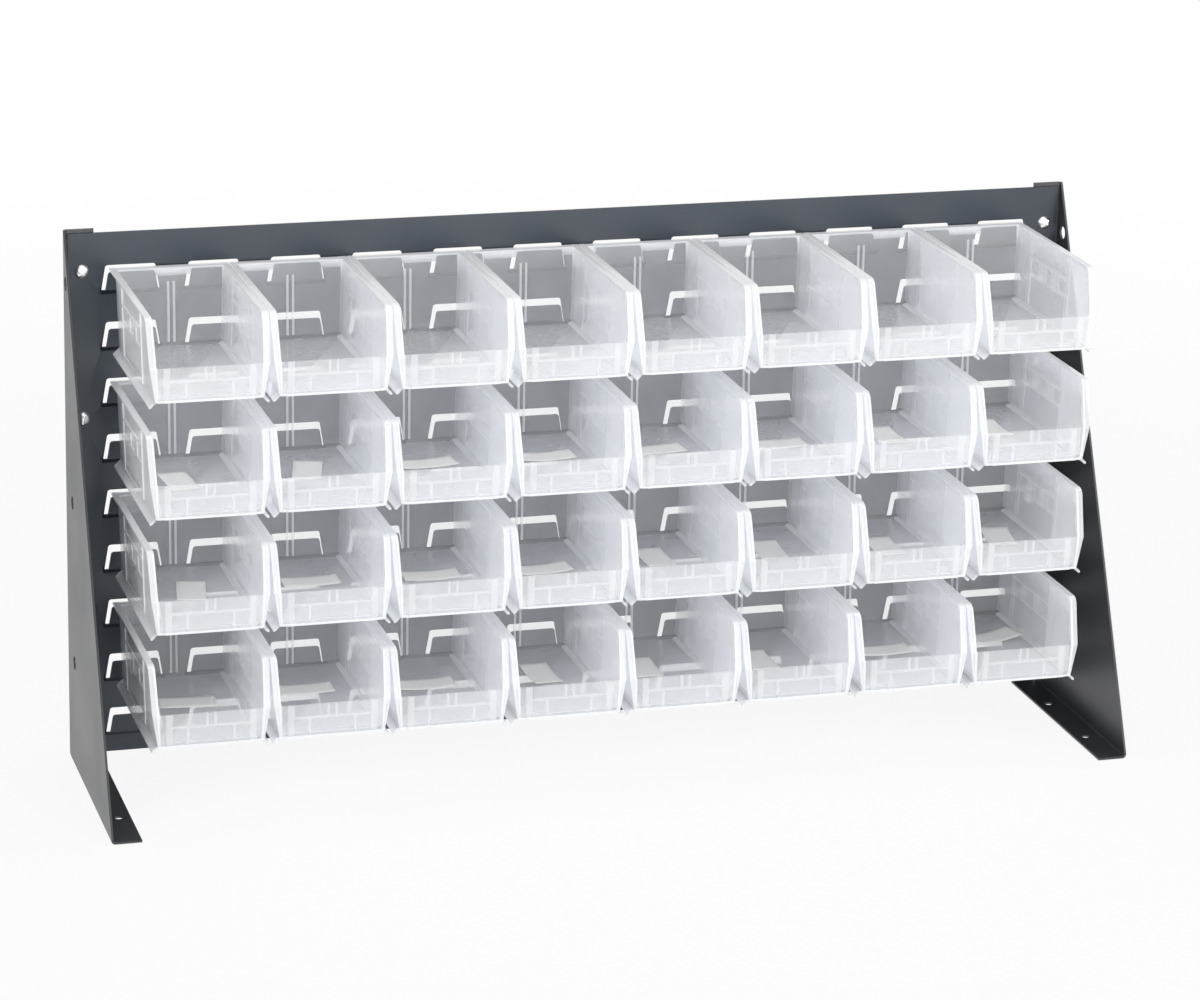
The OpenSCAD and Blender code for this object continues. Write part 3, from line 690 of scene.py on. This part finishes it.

# %% [markdown]
# ## Bin: milky plastic
# The plastic is clear but milky. A thin wall lets the panel show through, a rib is whiter, and a
# rim or post seen end-on is nearly white. One opacity for all of it would look like frosted glass,
# so each point stores its own share of white in an attribute called milk. The share blends from one
# point to the next, so the tub's rows and columns stand close on both sides of each border.
# Along the foot of the back wall the milk is lowest, so that strip is clearer and darker: painted shade where
# the floor meets the back wall.

# %% Milk attribute
MILK_CELL, MILK_REAR, MILK_FORE, MILK_BLOCK, MILK_RIB = 0.42, 0.42, 0.52, 0.53, 0.60
MILK_BACK, MILK_SHADED_FOOT, MILK_GUIDE, MILK_FLOOR, MILK_STRIP = 0.18, 0.06, 0.55, 0.25, 0.56
MILK_PANE, MILK_BAND, MILK_SILL, MILK_SKIRT = 0.21, 0.39, 0.82, 0.60
MILK_RIM, MILK_POST, MILK_BRIGHT, MILK_BRIDGE = 0.90, 0.50, 0.94, 0.24
SLACK, SKIN, POST_SLACK, SILL_DEPTH = 0.1, 0.2, 0.3, 0.5
CREST_FROM, CREST_TO, GUIDE_ZONE = 0.7 * GUIDE_H, 1.2 * GUIDE_H, 4.0
MOULD_ANGLE = math.radians(32)


def milk_of(points):
    """Share of white at each point by the zone of the moulding that it lies in. The zones are bands of
    width, depth and height, and a later zone goes over an earlier one."""
    across, y, z = np.abs(points[:, 0]), points[:, 1], points[:, 2]
    near = 0.05
    inward = wall_half(z) - across
    from_back, from_front = back_at(z) - y, y - front_at(z)
    rib_gap = np.abs(y[:, None] - SIDE_RIBS)

    milk = np.full(len(points), MILK_CELL)
    milk[y > REAR_RIB] = MILK_REAR
    milk[y < FRONT_RIB] = MILK_FORE
    in_cells = (z > LOWER_RAIL) & (z < UPPER_RAIL)
    milk[in_cells & (rib_gap[:, 1:3] < HALF_BLOCK + near).any(1)] = MILK_BLOCK
    on_rail = (np.abs(z - LOWER_RAIL) < HALF_RAIL + near) | (np.abs(z - UPPER_RAIL) < HALF_RAIL + near)
    milk[on_rail & (y > FRONT_RIB) & (y < REAR_RIB)] = MILK_RIB
    milk[(rib_gap[:, [0, 3]] < HALF_RIB + near).any(1)] = MILK_RIB

    milk[from_back < WALL + SKIN] = MILK_BACK
    crest = (from_back > WALL + CREST_FROM) & (from_back < WALL + CREST_TO)
    milk[crest & (across < GUIDE_ZONE)] = MILK_GUIDE

    pane = (y < BIN_FRONT + WALL + END_DRAFT) & (z > FLOOR_TOP)
    band = (across > BAND_IN - near) & (across < BAND_OUT + near)
    band |= (np.abs(z - FRONT_RAIL) < HALF_RAIL + near) & (across < BAND_OUT + near)
    band |= (across > CELL - near) & (across < CELL + RIB_W + near) & (z < FRONT_RAIL)
    band |= (across > FRONT_GUIDE - near) & (across < FRONT_GUIDE + RIB_W + near) & (z > FRONT_RAIL)
    milk[pane] = MILK_PANE
    milk[pane & band] = MILK_BAND

    milk[z < FLOOR_TOP + SKIN] = MILK_FLOOR
    strip = (z > FLOOR_TOP - SLACK) & (z < FLOOR_TOP + FLOOR_CHAMFER + SLACK)
    # A clearer strip along the foot of the back wall, so that it shows darker: painted shade.
    milk[strip & (from_back > SLACK) & (from_back < WALL + FLOOR_CHAMFER + SLACK)] = MILK_SHADED_FOOT
    strip &= (inward > WALL - SLACK) & (inward < WALL + FLOOR_CHAMFER + SLACK)
    milk[strip & (from_back > WALL + FLOOR_CHAMFER - SLACK)] = MILK_STRIP
    milk[(np.abs(z - FLOOR_TOP) < SLACK) & (from_front < WALL + FLOOR_CHAMFER + SLACK)] = MILK_SILL
    milk[(from_front < SILL_DEPTH) & (z < FLOOR_TOP + SLACK)] = MILK_SILL
    milk[z < FLOOR_UNDER - SKIN] = MILK_SKIRT

    milk[(y > BIN_BACK - WALL - SLACK) & (z > RIM_UNDER - SKIN)] = MILK_BRIDGE
    milk[y > LIP_BACK - LIP_T - SLACK] = MILK_BRIDGE
    on_rim, on_post = z > RIM_UNDER - SKIN, from_front < POST_T + POST_SLACK
    ledge = (inward < WALL + SLACK) & (on_rim | on_post) & (z > FLOOR_TOP)
    milk[ledge] = np.where(on_rim[ledge], MILK_RIM, MILK_POST)
    milk[ledge & (inward > SKIN)] = MILK_BRIGHT
    return milk


shape = np.empty(len(moulding.vertices) * 3)
moulding.vertices.foreach_get("co", shape)
shape = shape.reshape(-1, 3)
moulding.attributes.new("milk", "FLOAT", "POINT").data.foreach_set("value", milk_of(shape / MM))
moulding.shade_smooth()
moulding.set_sharp_from_angle(angle=MOULD_ANGLE)
print("milk from", MILK_SHADED_FOOT, "to", MILK_BRIGHT)

# %% [markdown]
# ## Bin: the plastic
# The material uses the milk as alpha, with a faint cloudy haze. Refraction with scattering inside
# would be truer, but far slower and noisier through so many walls. At a glancing angle the surface
# reflects more, which Layer Weight adds. Real milky plastic also passes on the light that it
# scatters, so it hardly darkens what lies behind it. Alpha can't do that, so rays towards a lamp meet
# only a share of the milk.

# %% Milky plastic
SHADOW_SHARE = 0.28
HAZE_SCALE, HAZE, GLANCE_BLEND, GLANCE = 60.0, 0.03, 0.28, 0.18
SATIN_SMOOTH, SATIN_ROUGH = 0.14, 0.24
PLASTIC_WHITE, PLASTIC_IOR = (0.905, 0.918, 0.94, 1), 1.49

clear_bin, tree, shader = principled("clear_bin", Base_Color=PLASTIC_WHITE, IOR=PLASTIC_IOR)
milk = place(tree, "ShaderNodeAttribute", attribute_name="milk").outputs["Fac"]
where = place(tree, "ShaderNodeTexCoord").outputs["Object"]
haze = place(tree, "ShaderNodeTexNoise", {"Vector": where, "Scale": HAZE_SCALE, "Detail": 3.0})
haze = place(tree, "ShaderNodeMapRange", {"Value": haze.outputs[0], "To Min": -HAZE, "To Max": HAZE})
glance = place(tree, "ShaderNodeLayerWeight", {"Blend": GLANCE_BLEND}).outputs["Facing"]
glance = place(tree, "ShaderNodeMath", {0: glance, 1: GLANCE}, operation="MULTIPLY")
white = place(tree, "ShaderNodeMath", {0: milk, 1: haze.outputs[0]}, operation="ADD")
white = place(tree, "ShaderNodeMath", {0: white.outputs[0], 1: glance.outputs[0]}, operation="ADD",
              use_clamp=True)
satin = place(tree, "ShaderNodeMapRange", {"Value": haze.outputs[0], "From Min": -HAZE, "From Max": HAZE,
                                           "To Min": SATIN_SMOOTH, "To Max": SATIN_ROUGH})
to_lamp = place(tree, "ShaderNodeLightPath").outputs["Is Shadow Ray"]
passed = place(tree, "ShaderNodeMapRange", {"Value": to_lamp, "To Min": 1.0, "To Max": SHADOW_SHARE})
white = place(tree, "ShaderNodeMath", {0: white.outputs[0], 1: passed.outputs[0]}, operation="MULTIPLY")
tree.links.new(white.outputs[0], shader.inputs["Alpha"])
tree.links.new(satin.outputs[0], shader.inputs["Roughness"])
moulding.materials.clear()
moulding.materials.append(clear_bin)
print("material:", clear_bin.name)

# %% [markdown]
# ## Hang the bins
# Every bin is a copy of the moulding with its place in its own mesh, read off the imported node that
# it stands for. It rides on that node's body, so it lifts off its louver alone.

# %% Hang the bins
bin_names = [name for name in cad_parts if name.startswith("bin_")]
for name in bin_names:
    low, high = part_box(name)
    spot = np.array([(low.x + high.x) / 2, high.y - LIP_BACK * MM, low.z])
    mesh = moulding.copy()
    mesh.name = f"{name}_moulding"
    mesh.vertices.foreach_set("co", (shape + spot).ravel())
    mesh.update()
    hung = bpy.data.objects.new(f"{name}_moulding", mesh)
    scene.collection.objects.link(hung)
    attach(hung, name)
    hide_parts(name)
bpy.data.meshes.remove(moulding)
print("bins hung:", len(bin_names))

# %% [markdown]
# ## Label cards
# New bins come with a blank paper card each, which lies loose on the floor of the lower bins. A
# card is a grid with a slight curl, thickened by Solidify. Where it lies is listed: how far
# from the bin's middle and from its front wall in millimetres, and its turn in degrees, which is 0
# crosswise.

# %% Label cards
CARD_L, CARD_W, CARD_T, CARD_LIFT = 51.0, 25.5, 0.25, 0.1
CARD_ROWS, CARD_COLUMNS = 13, 7
LEAST_CURL, CURL_STEP, CURLS = 0.4, 0.5, 4
CARD_SHADE, CARD_LIGHT = (0.91, 0.89, 0.86, 1), (0.97, 0.96, 0.94, 1)
CARD_ROUGHNESS, FIBRE_SCALE, FELT_STRENGTH, FELT_DEPTH = 0.7, 900.0, 0.2, 0.05 * MM
CARDS = {
    "bin_r2_c1": (-8, 100, 95), "bin_r2_c2": (1, 108, 76), "bin_r2_c3": (2, 106, 5),
    "bin_r2_c4": (3, 104, 0), "bin_r2_c5": (0, 104, 5), "bin_r2_c6": (5, 98, 0),
    "bin_r2_c7": (3, 100, 90), "bin_r2_c8": (-2, 100, 90), "bin_r3_c1": (3, 105, 80),
    "bin_r3_c2": (4, 108, 0), "bin_r3_c3": (5, 101, 0), "bin_r3_c4": (0, 96, 5),
    "bin_r3_c5": (2, 107, 90), "bin_r3_c6": (3, 104, 85), "bin_r3_c7": (3, 90, 90),
    "bin_r3_c8": (9, 94, 80), "bin_r4_c1": (-2, 103, -5), "bin_r4_c2": (0, 113, 0),
    "bin_r4_c3": (2, 102, 0), "bin_r4_c4": (3, 103, 92), "bin_r4_c5": (-8, 102, 88),
    "bin_r4_c6": (-6, 97, 90), "bin_r4_c7": (8, 98, 0), "bin_r4_c8": (16, 111, 20),
}


def card_sheet(curl):
    """Flat grid along x and y whose height is curl times the square of the distance along it."""
    u, v = np.meshgrid(np.linspace(-1, 1, CARD_ROWS), np.linspace(-1, 1, CARD_COLUMNS), indexing="ij")
    grid = np.stack([u * CARD_L / 2, v * CARD_W / 2, curl * u**2], axis=-1)
    i, j = np.meshgrid(np.arange(CARD_ROWS - 1), np.arange(CARD_COLUMNS - 1), indexing="ij")
    first = i * CARD_COLUMNS + j
    ahead = first + CARD_COLUMNS
    faces = np.stack([first, ahead, ahead + 1, first + 1], -1).reshape(-1, 4)
    return grid.reshape(-1, 3), faces.tolist()


paper_card, tree, shader = principled("paper_card", Roughness=CARD_ROUGHNESS)
where = place(tree, "ShaderNodeTexCoord").outputs["Object"]
fibres = place(tree, "ShaderNodeTexNoise", {"Vector": where, "Scale": FIBRE_SCALE, "Detail": 4.0})
tint = place(tree, "ShaderNodeMix", {"Factor": fibres.outputs[0], "A": CARD_SHADE, "B": CARD_LIGHT},
             data_type="RGBA")
felt = place(tree, "ShaderNodeBump", {"Height": fibres.outputs[0], "Strength": FELT_STRENGTH,
                                      "Distance": FELT_DEPTH})
tree.links.new(tint.outputs["Result"], shader.inputs["Base Color"])
tree.links.new(felt.outputs[0], shader.inputs["Normal"])

for number, (name, (across, ahead, turn)) in enumerate(CARDS.items()):
    low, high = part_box(name)
    points, faces = card_sheet(LEAST_CURL + CURL_STEP * (number % CURLS))
    angle = math.radians(turn)
    cosine, sine = math.cos(angle), math.sin(angle)
    spin = np.array([[cosine, sine, 0], [-sine, cosine, 0], [0, 0, 1]])
    spot = np.array([(low.x + high.x) / 2 / MM + across, low.y / MM + RIB_H + ahead,
                     low.z / MM + FLOOR_TOP + CARD_LIFT])
    card = mesh_object(f"{name}_card", points @ spin + spot, faces)
    card.data.materials.append(paper_card)
    card.data.shade_smooth()
    thick = card.modifiers.new("paper", "SOLIDIFY")
    thick.thickness = CARD_T * MM
    thick.offset = 1
    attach(card, name)
print("cards:", len(CARDS))

# %% [markdown]
# ## Finish
# The scene is brought up to date once more, so that every piece stands in its place.

# %% Finish
bpy.context.view_layer.update()
